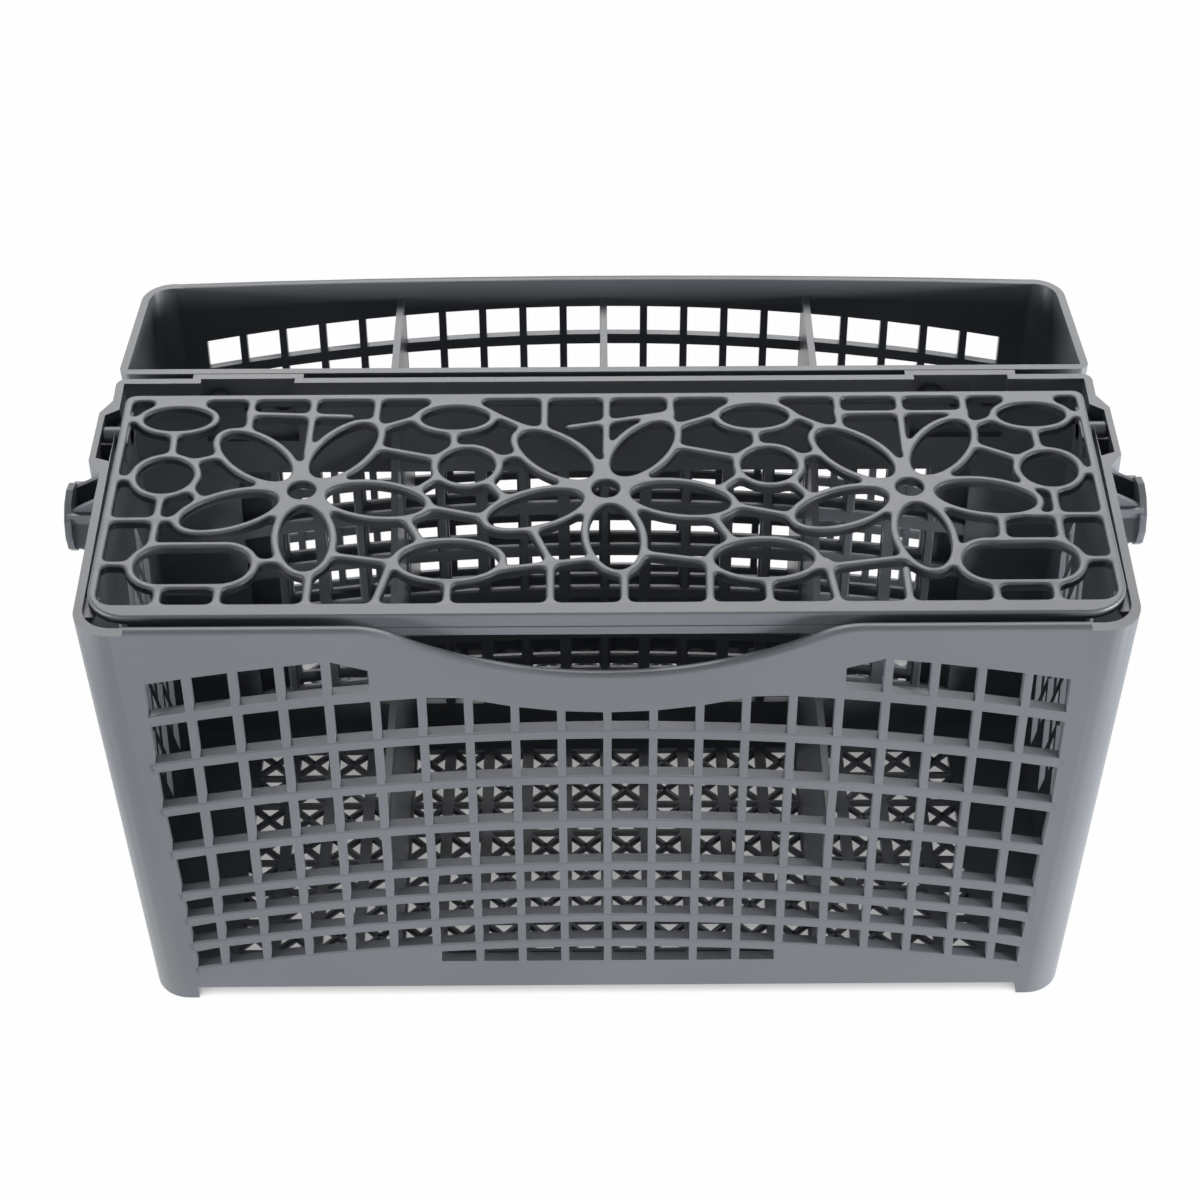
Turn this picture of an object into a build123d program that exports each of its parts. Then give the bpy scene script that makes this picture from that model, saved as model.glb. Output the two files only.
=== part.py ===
from build123d import *
from dataclasses import dataclass
from math import atan2, cos, hypot, radians, sin, sqrt, tan
import os

# Cutlery basket for a dishwasher: a front bin with a flower-grille lid, and an
# open rear bin whose studs slide into keyholes in the front bin's back wall.
# Millimetres. X runs along the basket, -Y is the front, Z is up from the feet.

# Overall sizes
basket_depth = 140.0
rim_height = 124.0
front_length = 240.0
joint_length = 243.5
rear_length = 239.0
front_bin_depth = 97.7
joint_gap = 2.1
wall = 2.0
front_wall = 2.8
floor_thickness = 2.2
reach = 12.0

# Draft of the moulded walls, degrees
end_draft = 2.6
face_draft = 1.35
joint_draft = 0.5

# Corner radii seen from above
front_corner = 9.0
rear_corner = 8.0
joint_corner = 2.6
smallest_round = 1.0

# Feet
foot_height = 4.0
foot_length = 12.0
foot_depth = 10.0

# Arched grid of the outer walls
grid_pitch = 10.6
grid_columns = 20
grid_bar = 1.9
arch_radius = 530.0
arch_bar = 3.0
first_bar = 107.6
tall_pitch = 14.9
tall_rows = 4
short_pitch = 9.3
short_rows = 3
grid_half_top = 107.3
grid_top_front = 119.5
grid_top_rear = 117.8
smallest_gap = 3.5
slot_half = 57.0
slot_floor = 13.4
slot_bar = 2.2

# Crown of the rear rim, and the bars of the rear wall by number from the top
rear_crown = 1.9
rear_crown_half = 110.0
rear_bars = (0, 1, 7)

# Thumb notch in the front wall
notch_depth = 14.0
notch_radius = 105.0
notch_shoulder = 20.0
notch_band = 10.4

# Upright bars of the two inner walls and the floors, numbered in grid pitches from
# the middle: the bars of one wall stand in front of the openings of the other
divider_bar = 5
divider_x = divider_bar * grid_pitch
front_inner_bars = (-9, -7, -5, -3, -1, 1, 3, 5, 7, 9)
rear_inner_bars = (-8, -6, -5, -4, -2, 0, 2, 4, 5, 6, 8)
front_floor_bars = range(-9, 10)
rear_floor_bars = (-9, -7, -5, -3, -1, 0, 1, 3, 5, 7, 9)
inner_bar = 3.0
inner_low = 16.0
inner_high = 96.0
floor_bar = 3.0
floor_margin = 9.0

# Diamond lattice of the end walls
diamond_width = 18.0
diamond_height = 42.0
diamond_bar = 2.4
lattice_low = 14.0
lattice_rows = 2
front_diamonds = 4
rear_diamonds = 2

# Dividers
divider_thickness = 1.8
rear_divider_drop = 3.5
fin_drop = 14.0
low_divider_drop = 60.0
fin_foot = 53.0

# Sliding lock: keyholes in the front bin, studs on the rear bin
lock_x = 89.0
lock_pad_width = 27.6
lock_pad_height = 22.0
lock_recess_width = 23.4
lock_recess_height = 18.0
lock_skin = 2.0
lock_drop = 6.3
lock_travel = 15.0
lock_clearance = 0.25
stud_radius = 1.8
stud_head_radius = 3.3
stud_head = 1.8
stud_sides = 10
stud_offset = -7.2
keyhole_clearance = 0.35
detent_width = 4.2

# Hinge housings on the end walls and the lid's pins, placed from the pin
hinge_back = 20.7
hinge_drop = 2.2
pin_radius = 2.3
pin_sides = 16
pin_clearance = 0.2
housing_reach = 2.9
housing_front = 17.1
housing_front_slope = 4.5
housing_back = 12.6
housing_back_slope = 6.0
housing_height = 16.0
pocket_front = 13.0
pocket_front_slope = 1.5
pocket_back = 8.0
pocket_back_slope = 2.5
pocket_depth = 12.5
pocket_skin = 1.5
cradle_long = 7.0

# Hanging lugs on the end walls
lug_back = 44.2
lug_drop = 8.6
lug_reach = 7.2
lug_radius = 8.2
lug_sides = 12
lug_flange = 1.6
lug_half_width = 5.3
lug_skin = 1.3
lug_top_drop = 3.0
lug_rib = 1.3
lug_rib_height = 2.6

# Lid
lid_rise = 1.0
lid_thickness = 2.5
lid_gap = 0.4
lid_front_gap = 2.6
lid_back_gap = 6.1
lid_side_bar = 2.1
lid_back_bar = 2.5
lid_front_band = 4.6
lid_front_corner = 10.0
lid_back_chamfer = 1.6
lid_inner_corner = 4.0
lid_skirt = 4.7
lid_skirt_thickness = 1.8
lid_ledge = 3.0
lid_ledge_length = 7.0
lid_ledge_brace = 6.0
lid_ledge_place = 9.0
ear_long = 6.5
ear_drop = 3.6
ear_slope = 55
ear_thickness = 2.6

# Lid pattern, measured from the lid's middle line and its front edge
rib = 1.9
flower_pitch = 72.0
flower_y = 45.8
flower_eye = 3.3
flower_web = 12.4
petal_count = 5
petal_turn = -84.0
petal_place = 18.0
petal_long = 12.0
petal_wide = 5.8
oval_x = (104.4, 36.6)
oval_y = 74.3
oval_long = 8.4
oval_wide = 4.7
ring_x = (-105.0, -33.2, 39.2, 106.0)
ring_y = (51.8, 55.0, 54.8, 52.6)
ring_radius = 6.8
side_slot_x = 95.0
side_slot_y = 18.4
side_slot_long = 13.4
side_slot_wide = 6.6
side_slot_legs = 6.8
front_oval_x = 36.2
front_oval_y = 19.6
front_oval_long = 11.5
front_oval_wide = 6.5
front_leg_x = (-50.2, -12.9, 23.4, 51.4)
back_tie = 4.4
oval_sides = 8
ring_sides = 7
eye_sides = 5

front_y = -basket_depth / 2
rear_y = basket_depth / 2
front_back_y = front_y + front_bin_depth
rear_front_y = front_back_y + joint_gap
floor_top = foot_height + floor_thickness


@dataclass
class Bin:
    """One moulded bin: its near and far faces at the rim, half lengths, drafts, radii and walls."""
    near_y: float
    far_y: float
    near_half: float
    far_half: float
    near_draft: float
    far_draft: float
    near_radius: float
    far_radius: float
    near_wall: float

    def near(self, z):
        return self.near_y + (rim_height - z) * tan(radians(self.near_draft))

    def far(self, z):
        return self.far_y - (rim_height - z) * tan(radians(self.far_draft))

    def half(self, y, z):
        flare = (self.far_half - self.near_half) / (self.far_y - self.near_y)
        return self.near_half + flare * (y - self.near_y) - (rim_height - z) * tan(radians(end_draft))


front_bin = Bin(front_y, front_back_y, front_length / 2, joint_length / 2,
                face_draft, joint_draft, front_corner, joint_corner, front_wall)
rear_bin = Bin(rear_front_y, rear_y, joint_length / 2, rear_length / 2,
               joint_draft, face_draft, joint_corner, rear_corner, wall)


def polygon_face(*points):
    """A flat face through the points."""
    return Face(Wire.make_polygon(points))


def bin_block(shape, low, high, hollow=False):
    """The bin's solid block between two heights, or the block of its hollow."""
    inset = wall if hollow else 0
    near_inset = shape.near_wall if hollow else 0
    rings = []
    for z in (low, high):
        near = shape.near(z) + near_inset
        far = shape.far(z) - inset
        near_half = shape.half(near, z) - inset
        far_half = shape.half(far, z) - inset
        rings.append([Vector(-near_half, near, z), Vector(near_half, near, z),
                      Vector(far_half, far, z), Vector(-far_half, far, z)])
    bottom, top = rings
    faces = [polygon_face(*bottom), polygon_face(*top)]
    for start in range(4):
        end = (start + 1) % 4
        faces.append(polygon_face(bottom[start], bottom[end], top[end], top[start]))
    block = Solid(Shell(faces))
    for radius, pair in ((shape.near_radius, slice(0, 2)), (shape.far_radius, slice(-2, None))):
        if radius - inset > smallest_round:
            uprights = block.edges().filter_by(lambda edge: abs((edge @ 1).Z - (edge @ 0).Z) > wall)
            block = block.fillet(radius - inset, uprights.sort_by(Axis.Y)[pair])
    return block


def cut_foot_reliefs(shape):
    """Clear the underside between the four corner feet."""
    middle_y = (shape.near_y + shape.far_y) / 2
    depth = shape.far(0) - shape.near(0)
    length = 2 * shape.half(middle_y, 0)
    with Locations((0, middle_y, foot_height / 2)):
        Box(length - 2 * foot_length, depth + 2 * reach, foot_height, mode=Mode.SUBTRACT)
        Box(length + 2 * reach, depth - 2 * foot_depth, foot_height, mode=Mode.SUBTRACT)


def arch(height, x):
    """Height at x of a grid bar whose middle is at the given height."""
    return height - x * x / (2 * arch_radius)


def bar_heights():
    """Middle heights of the arched bars, top to bottom."""
    heights = [first_bar]
    heights += [first_bar - tall_pitch * (row + 1) for row in range(tall_rows)]
    heights += [heights[-1] - short_pitch * (row + 1) for row in range(short_rows)]
    return heights


def notch_edge(x, offset):
    """Height of the thumb notch's curve, lowered by the offset."""
    centre = rim_height - notch_depth + notch_radius
    return centre - sqrt((notch_radius + offset) ** 2 - x * x)


def grid_edge(z):
    """Half length of the grid at height z, which follows the end walls' draft."""
    return grid_half_top - (grid_top_front - z) * tan(radians(end_draft))


def grid_opening(left, right, top, bottom):
    """Corners of one four-sided opening, if it is big enough; top and bottom give the height at x."""
    low_left = (max(left, -grid_edge(bottom(left))), bottom(left))
    low_right = (min(right, grid_edge(bottom(right))), bottom(right))
    high_right = (min(right, grid_edge(top(right))), top(right))
    high_left = (max(left, -grid_edge(top(left))), top(left))
    if min(high_left[1] - low_left[1], high_right[1] - low_right[1]) < smallest_gap:
        return []
    return [(low_left, low_right, high_right, high_left)]


def column_sides():
    """Left and right side of every column of an outer wall's grid."""
    lefts = [(column - grid_columns / 2) * grid_pitch + grid_bar / 2 for column in range(grid_columns)]
    return [(left, left + grid_pitch - grid_bar) for left in lefts]


def grid_openings(top_height, bars, ceiling):
    """Openings of an outer wall: columns in rows between the arched bars."""
    tops = [top_height] + [bar - arch_bar / 2 for bar in bars[:-1]]
    bottoms = [bar + arch_bar / 2 for bar in bars]
    openings = []
    for left, right in column_sides():
        for high, low in zip(tops, bottoms):
            openings += grid_opening(left, right,
                                     lambda x, high=high: min(arch(high, x), ceiling(x)),
                                     lambda x, low=low: arch(low, x))
    return openings


def slot_openings():
    """The low row under the middle of the front grid."""
    top = bar_heights()[-1] + arch_bar / 2 - slot_bar
    openings = []
    for left, right in column_sides():
        if max(abs(left), abs(right)) < slot_half:
            openings += grid_opening(left, right, lambda x: arch(top, x), lambda x: slot_floor)
    return openings


def cut_wall(openings, y, depth):
    """Cut openings, given by their (x, z) corners, from y on by the depth along Y."""
    faces = [polygon_face(*[Vector(x, y, z) for x, z in corners]) for corners in openings]
    extrude(faces, amount=depth, dir=(0, 1, 0), mode=Mode.SUBTRACT)


def divider_profile(shape, top_points):
    """Outline of a divider that is rooted in the floor and in both long walls."""
    root = foot_height + floor_thickness / 2
    near_root = shape.near(root) + shape.near_wall / 2
    far_root = shape.far(root) - wall / 2
    Polygon((near_root, root), (far_root, root), *top_points, align=None)


def between_bars(bars, bar_width, low, high):
    """Corners of the upright openings between numbered bars."""
    corners = []
    for left_bar, right_bar in zip(bars[:-1], bars[1:]):
        left = left_bar * grid_pitch + bar_width / 2
        right = right_bar * grid_pitch - bar_width / 2
        corners.append(((left, low), (right, low), (right, high), (left, high)))
    return corners


def cut_floor(shape, bars):
    """Cut the slots of a floor."""
    low = shape.near(foot_height) + floor_margin
    high = shape.far(foot_height) - floor_margin
    openings = between_bars(bars, floor_bar, low, high)
    faces = [polygon_face(*[Vector(x, y, 0) for x, y in corners]) for corners in openings]
    extrude(faces, amount=floor_top, dir=(0, 0, 1), mode=Mode.SUBTRACT)


def cut_end_lattice(shape, count):
    """Cut staggered diamonds through both end walls, clear of the dividers."""
    middle_y = (shape.near_y + shape.far_y) / 2
    half_wide = diamond_width / 2 - diamond_bar / 2
    half_high = diamond_height / 2 - diamond_bar
    outer = joint_length / 2 + reach
    depth = outer - shape.half(shape.near_y, 0) + 2 * wall
    for side in (-1, 1):
        faces = []
        for row in range(2 * lattice_rows - 1):
            in_row = count - row % 2
            z = lattice_low + (row + 1) * diamond_height / 2
            for place in range(in_row):
                y = middle_y + (place - (in_row - 1) / 2) * diamond_width
                faces.append(polygon_face(Vector(side * outer, y + half_wide, z),
                                          Vector(side * outer, y, z + half_high),
                                          Vector(side * outer, y - half_wide, z),
                                          Vector(side * outer, y, z - half_high)))
        extrude(faces, amount=depth, dir=(-side, 0, 0), mode=Mode.SUBTRACT)


# Front bin
hinge_y = front_back_y - hinge_back
hinge_z = rim_height - hinge_drop
lug_y = front_back_y - lug_back
lug_z = rim_height - lug_drop
lock_z = rim_height - lock_drop
pad_face_y = rear_front_y - lock_clearance
recess_y = pad_face_y - lock_skin
hinge_half = front_bin.half(hinge_y, rim_height)
lug_half = front_bin.half(lug_y, rim_height)
lid_underside = rim_height + lid_rise - lid_thickness

with BuildPart() as front_basket:
    add(bin_block(front_bin, 0, rim_height))
    cut_foot_reliefs(front_bin)

    # Hinge housings, swelling out of the end walls
    for side in (-1, 1):
        root = side * (hinge_half - wall)
        face = side * (hinge_half + housing_reach)
        with BuildSketch(Plane.XY.offset(rim_height)):
            Polygon((root, hinge_y - housing_front - housing_front_slope / 2),
                    (face, hinge_y - housing_front + housing_front_slope),
                    (face, hinge_y + housing_back - housing_back_slope),
                    (root, hinge_y + housing_back + housing_back_slope / 2), align=None)
        extrude(amount=-housing_height)

    # Hanging lugs: a round flange on a hollow bracket
    for side in (-1, 1):
        flange_face = side * (lug_half + lug_reach)
        flange_back = side * (lug_half + lug_reach - lug_flange)
        root = side * (lug_half - wall)
        with BuildSketch(Plane.YZ.offset(flange_face)):
            with Locations((lug_y, lug_z)):
                RegularPolygon(lug_radius, lug_sides)
        extrude(amount=-side * lug_flange)
        with BuildSketch(Plane.XZ.offset(-lug_y)):
            Polygon((root, rim_height), (side * lug_half, rim_height),
                    (flange_back, rim_height - lug_top_drop),
                    (flange_back, lug_z - lug_half_width),
                    (root, lug_z - lug_radius), align=None)
        extrude(amount=lug_half_width, both=True)
        with Locations((side * (lug_half + lug_reach / 2 - lug_flange / 2), lug_y,
                        rim_height - lug_top_drop - lug_rib_height / 2)):
            Box(lug_reach, 2 * (lug_half_width + lug_rib), lug_rib_height)
        pocket = lug_reach - lug_flange
        with Locations((side * (lug_half + pocket / 2), lug_y, rim_height)):
            Box(pocket, 2 * (lug_half_width - lug_skin), 2 * lug_drop, mode=Mode.SUBTRACT)

    # Lock pads on the back wall
    for centre in (-lock_x, lock_x):
        with Locations((centre, pad_face_y, rim_height)):
            Box(lock_pad_width, pad_face_y - front_back_y + wall, lock_pad_height,
                align=(Align.CENTER, Align.MAX, Align.MAX))

    add(bin_block(front_bin, floor_top, rim_height + reach, hollow=True), mode=Mode.SUBTRACT)

    # Recess and keyhole of each lock
    for centre in (-lock_x, lock_x):
        with Locations((centre, recess_y, rim_height - lock_recess_height)):
            Box(lock_recess_width, 2 * wall, lock_recess_height + reach,
                align=(Align.CENTER, Align.MAX, Align.MIN), mode=Mode.SUBTRACT)
        stud_x = centre + stud_offset
        shaft_gap = stud_radius + keyhole_clearance
        head_gap = stud_head_radius + keyhole_clearance
        with BuildSketch(Plane.XZ.offset(-pad_face_y - reach)):
            with Locations((stud_x + lock_travel, lock_z)):
                RegularPolygon(head_gap, stud_sides)
            with Locations((stud_x + lock_travel / 2, lock_z)):
                Rectangle(lock_travel + 2 * shaft_gap, 2 * shaft_gap)
                Rectangle(detent_width, 2 * head_gap)
        extrude(amount=reach + lock_skin + wall, mode=Mode.SUBTRACT)

    # Pocket and cradle of each hinge
    for side in (-1, 1):
        inner = side * (hinge_half - wall)
        bottom = side * (hinge_half + housing_reach - pocket_skin)
        rooted = bottom + side * pocket_skin / 2
        with BuildSketch(Plane.XY.offset(rim_height)):
            Polygon((inner, hinge_y - pocket_front),
                    (bottom, hinge_y - pocket_front + pocket_front_slope),
                    (bottom, hinge_y + pocket_back - pocket_back_slope),
                    (inner, hinge_y + pocket_back), align=None)
        extrude(amount=-pocket_depth, mode=Mode.SUBTRACT)
        with Locations(((inner + rooted) / 2, hinge_y, hinge_z)):
            Box(abs(rooted - inner), cradle_long, pocket_depth,
                align=(Align.CENTER, Align.CENTER, Align.MAX))
        with BuildSketch(Plane.YZ.offset(bottom)):
            with Locations((hinge_y, hinge_z)):
                Circle(pin_radius + pin_clearance)
        extrude(amount=inner - bottom - side * wall, mode=Mode.SUBTRACT)

    # Ledges that the closed lid rests on
    for side in (-1, 1):
        ledge_y = front_y + front_wall + lid_ledge_place
        ledge_half = front_bin.half(ledge_y, rim_height) - wall
        with BuildSketch(Plane.XZ.offset(-ledge_y)):
            Polygon((side * (ledge_half + wall / 2), lid_underside),
                    (side * (ledge_half - lid_ledge), lid_underside),
                    (side * (ledge_half + wall / 2), lid_underside - lid_ledge_brace), align=None)
        extrude(amount=lid_ledge_length / 2, both=True)

    # Dividers with a fin that rises to the back wall
    for x in (-divider_x, divider_x):
        with BuildSketch(Plane.YZ.offset(x)):
            fin_top = rim_height - fin_drop
            low_top = rim_height - low_divider_drop
            divider_profile(front_bin, [
                (front_bin.far(fin_top) - wall / 2, fin_top),
                (front_bin.far(fin_top) - fin_foot, low_top),
                (front_bin.near(low_top) + front_wall / 2, low_top)])
        extrude(amount=divider_thickness / 2, both=True)

    # Thumb notch with rounded shoulders
    shoulder_x = sqrt(notch_depth * (2 * (notch_radius + notch_shoulder) - notch_depth))
    notch_centre_z = rim_height - notch_depth + notch_radius
    lean = atan2(notch_centre_z - rim_height + notch_shoulder, shoulder_x)
    join_x = shoulder_x - notch_shoulder * cos(lean)
    join_z = rim_height - notch_shoulder + notch_shoulder * sin(lean)
    half_lean = (lean + radians(90)) / 2
    bulge_x = shoulder_x - notch_shoulder * cos(half_lean)
    bulge_z = rim_height - notch_shoulder + notch_shoulder * sin(half_lean)
    with BuildSketch(Plane.XZ.offset(-front_y + reach)):
        with BuildLine():
            ThreePointArc((-shoulder_x, rim_height), (-bulge_x, bulge_z), (-join_x, join_z))
            ThreePointArc((-join_x, join_z), (0, rim_height - notch_depth), (join_x, join_z))
            ThreePointArc((join_x, join_z), (bulge_x, bulge_z), (shoulder_x, rim_height))
            Polyline((shoulder_x, rim_height), (shoulder_x, rim_height + reach),
                     (-shoulder_x, rim_height + reach), (-shoulder_x, rim_height))
        make_face()
    extrude(amount=-reach - 2 * front_wall, mode=Mode.SUBTRACT)

    # Arched grid of the front wall, under the notch's band
    front_grid = grid_openings(grid_top_front, bar_heights(), lambda x: notch_edge(x, notch_band))
    cut_wall(front_grid + slot_openings(),
             front_y - reach, reach + front_bin.near(0) - front_y + front_wall)

    # Back wall, floor and ends
    cut_wall(between_bars(front_inner_bars, inner_bar, inner_low, inner_high),
             front_back_y - 2 * wall, 2 * wall + joint_gap)
    cut_floor(front_bin, front_floor_bars)
    cut_end_lattice(front_bin, front_diamonds)

front_basket.part.label = "front_basket"


# Rear bin
with BuildPart() as rear_basket:
    add(bin_block(rear_bin, 0, rim_height))
    cut_foot_reliefs(rear_bin)

    add(bin_block(rear_bin, floor_top, rim_height + reach, hollow=True), mode=Mode.SUBTRACT)

    # Dividers
    for x in (-divider_x, 0, divider_x):
        with BuildSketch(Plane.YZ.offset(x)):
            top = rim_height - rear_divider_drop
            divider_profile(rear_bin, [(rear_bin.far(top) - wall / 2, top),
                                       (rear_bin.near(top) + wall / 2, top)])
        extrude(amount=divider_thickness / 2, both=True)

    # Lock studs
    for centre in (-lock_x, lock_x):
        with BuildSketch(Plane.XZ.offset(-rear_front_y - wall / 2)):
            with Locations((centre + stud_offset, lock_z)):
                RegularPolygon(stud_radius, stud_sides)
        extrude(amount=rear_front_y + wall / 2 - recess_y + stud_head)
        with BuildSketch(Plane.XZ.offset(lock_clearance - recess_y)):
            with Locations((centre + stud_offset, lock_z)):
                RegularPolygon(stud_head_radius, stud_sides)
        extrude(amount=stud_head)

    # Arched rim of the rear wall
    with BuildSketch(Plane.XZ.offset(-rear_y)):
        with BuildLine():
            ThreePointArc((-rear_crown_half, rim_height), (0, rim_height + rear_crown),
                          (rear_crown_half, rim_height))
            Polyline((rear_crown_half, rim_height), (rear_crown_half, rim_height - wall / 2),
                     (-rear_crown_half, rim_height - wall / 2), (-rear_crown_half, rim_height))
        make_face()
    extrude(amount=wall)

    # Arched grid of the rear wall
    bars = [bar_heights()[number] for number in rear_bars]
    cut_wall(grid_openings(grid_top_rear, bars, lambda x: rim_height),
             rear_bin.far(0) - wall, reach + rear_y - rear_bin.far(0) + wall)

    # Front wall, floor and ends
    cut_wall(between_bars(rear_inner_bars, inner_bar, inner_low, inner_high),
             rear_front_y - joint_gap, 2 * wall + joint_gap)
    cut_floor(rear_bin, rear_floor_bars)
    cut_end_lattice(rear_bin, rear_diamonds)

rear_basket.part.label = "rear_basket"


# Lid
lid_front_y = front_y + front_wall + lid_front_gap
lid_back_y = front_back_y - wall - lid_back_gap
lid_top = rim_height + lid_rise
lid_front_half = front_bin.half(lid_front_y, rim_height) - wall - lid_gap
# The part behind the pins swings down between the sloping end walls
lid_back_half = front_bin.half(hinge_y, hinge_z - lid_back_y + hinge_y) - wall - lid_gap


def lid_half(y):
    along = (y - lid_front_y) / (lid_back_y - lid_front_y)
    return lid_front_half + along * (lid_back_half - lid_front_half)


def lid_outline(inset_front, inset_back, inset_side, front_radius, back_chamfer):
    """Outline of the lid, or a smaller one inside it."""
    near = lid_front_y + inset_front
    far = lid_back_y - inset_back
    near_half = lid_half(near) - inset_side
    far_half = lid_half(far) - inset_side
    with BuildSketch(mode=Mode.PRIVATE) as outline:
        Polygon((-near_half, near), (near_half, near), (far_half, far), (-far_half, far), align=None)
        fillet(outline.vertices().group_by(Axis.Y)[0], front_radius)
        if back_chamfer > 0:
            chamfer(outline.vertices().group_by(Axis.Y)[-1], back_chamfer)
    return outline.sketch


def strut(start, end):
    """A straight rib between two points."""
    length = hypot(end[0] - start[0], end[1] - start[1])
    across_x = -(end[1] - start[1]) / length * rib / 2
    across_y = (end[0] - start[0]) / length * rib / 2
    return polygon_face(Vector(start[0] + across_x, start[1] + across_y),
                        Vector(start[0] - across_x, start[1] - across_y),
                        Vector(end[0] - across_x, end[1] - across_y),
                        Vector(end[0] + across_x, end[1] + across_y))


def oval(centre, long, wide, turn, sides):
    """A faceted oval with the same area as the true one."""
    step = radians(360 / sides)
    swell = sqrt(step / sin(step))
    points = []
    for number in range(sides):
        along = long * swell * cos(number * step)
        across = wide * swell * sin(number * step)
        points.append(Vector(centre[0] + along * cos(radians(turn)) - across * sin(radians(turn)),
                             centre[1] + along * sin(radians(turn)) + across * cos(radians(turn))))
    return polygon_face(*points)


def flower_places():
    return [(index * flower_pitch, lid_front_y + flower_y) for index in (-1, 0, 1)]


def petal(flower, index):
    """Centre and direction of a petal; 0 is the one that points to the front."""
    angle = petal_turn + index * 360 / petal_count
    x = flower[0] + petal_place * cos(radians(angle))
    y = flower[1] + petal_place * sin(radians(angle))
    return (x, y), angle


def petal_tip(flower, index):
    centre, angle = petal(flower, index)
    return (centre[0] + petal_long * cos(radians(angle)), centre[1] + petal_long * sin(radians(angle)))


def lid_shapes(grow):
    """Every closed ring of the pattern, grown by a rib's width or not."""
    faces = []
    for flower in flower_places():
        faces.append(oval(flower, flower_eye + grow, flower_eye + grow, 0, eye_sides))
        for index in range(petal_count):
            centre, angle = petal(flower, index)
            faces.append(oval(centre, petal_long + grow, petal_wide + grow, angle, oval_sides))
    for side in (-1, 1):
        for x in oval_x:
            faces.append(oval((side * x, lid_front_y + oval_y),
                              oval_long + grow, oval_wide + grow, 0, oval_sides))
        faces.append(oval((side * front_oval_x, lid_front_y + front_oval_y),
                          front_oval_long + grow, front_oval_wide + grow, 0, oval_sides))
        faces.append(oval((side * side_slot_x, lid_front_y + side_slot_y),
                          side_slot_long + grow, side_slot_wide + grow, 0, oval_sides))
    for x, y in zip(ring_x, ring_y):
        faces.append(oval((x, lid_front_y + y), ring_radius + grow, ring_radius + grow, 0, ring_sides))
    return faces


def lid_struts():
    """The webs of the flowers, and the ribs that tie the rings to each other and to the frame."""
    faces = []
    back = lid_back_y - lid_back_bar / 2
    front = lid_front_y + lid_front_band / 2
    tie_y = lid_back_y - lid_back_bar - back_tie
    flowers = flower_places()
    rings = [(x, lid_front_y + y) for x, y in zip(ring_x, ring_y)]
    ovals = [(x, lid_front_y + oval_y) for x in (-oval_x[0], -oval_x[1], oval_x[1], oval_x[0])]
    fronts = [(-side_slot_x, lid_front_y + side_slot_y), (-front_oval_x, lid_front_y + front_oval_y),
              (front_oval_x, lid_front_y + front_oval_y), (side_slot_x, lid_front_y + side_slot_y)]
    for flower in flowers:
        # The plate between the petals
        faces.append(oval(flower, flower_web, flower_web, petal_turn, petal_count))
        left_tip = petal_tip(flower, 3)
        right_tip = petal_tip(flower, 2)
        faces.append(strut((left_tip[0] + rib, back), (left_tip[0] + rib, left_tip[1])))
        faces.append(strut((right_tip[0], back), right_tip))
        faces.append(strut((flower[0], back), flower))
        faces.append(strut((left_tip[0] + rib, tie_y), (right_tip[0], tie_y)))
        foot = petal_tip(flower, 0)
        faces.append(strut(foot, (foot[0], front)))
    for place, ring in zip(ovals, rings):
        faces.append(strut(place, (place[0], ring[1])))
        faces.append(strut(place, (place[0], back)))
    for index, flower in enumerate(flowers):
        faces.append(strut(rings[index], petal(flower, 3)[0]))
        faces.append(strut(rings[index], petal(flower, 4)[0]))
        faces.append(strut(rings[index + 1], petal(flower, 1)[0]))
        faces.append(strut(rings[index + 1], petal(flower, 2)[0]))
        faces.append(strut(ovals[index], petal_tip(flower, 3)))
        faces.append(strut(ovals[index + 1], petal_tip(flower, 2)))
        foot_x = petal_tip(flower, 0)[0]
        faces.append(strut(fronts[index], (foot_x, fronts[index][1])))
        faces.append(strut(fronts[index + 1], (foot_x, fronts[index + 1][1])))
        faces.append(strut(fronts[index + 1], petal(flower, 1)[0]))
    for left, right in zip(flowers[:-1], flowers[1:]):
        faces.append(strut(petal_tip(left, 1), petal_tip(right, 4)))
    for place in fronts[1:3]:
        faces.append(strut(place, (place[0], front)))
    for x in front_leg_x:
        faces.append(strut((x, lid_front_y + front_oval_y), (x, front)))
    for side, ring, slot, place in ((-1, rings[0], fronts[0], ovals[0]),
                                    (1, rings[-1], fronts[-1], ovals[-1])):
        frame_x = side * (lid_half(ring[1]) - lid_side_bar / 2)
        faces.append(strut((frame_x, ring[1]), ring))
        faces.append(strut((frame_x, slot[1]), slot))
        faces.append(strut((frame_x, place[1]), place))
        faces.append(strut(ring, (ring[0], slot[1])))
        for leg_x in (slot[0] - side_slot_legs, slot[0] + side_slot_legs):
            faces.append(strut((leg_x, slot[1]), (leg_x, front)))
    cross_y = petal_tip(flowers[0], 4)[1]
    faces.append(strut((-lid_half(cross_y) + lid_side_bar / 2, cross_y), petal_tip(flowers[0], 4)))
    faces.append(strut((lid_half(cross_y) - lid_side_bar / 2, cross_y), petal_tip(flowers[-1], 1)))
    return faces


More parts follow.
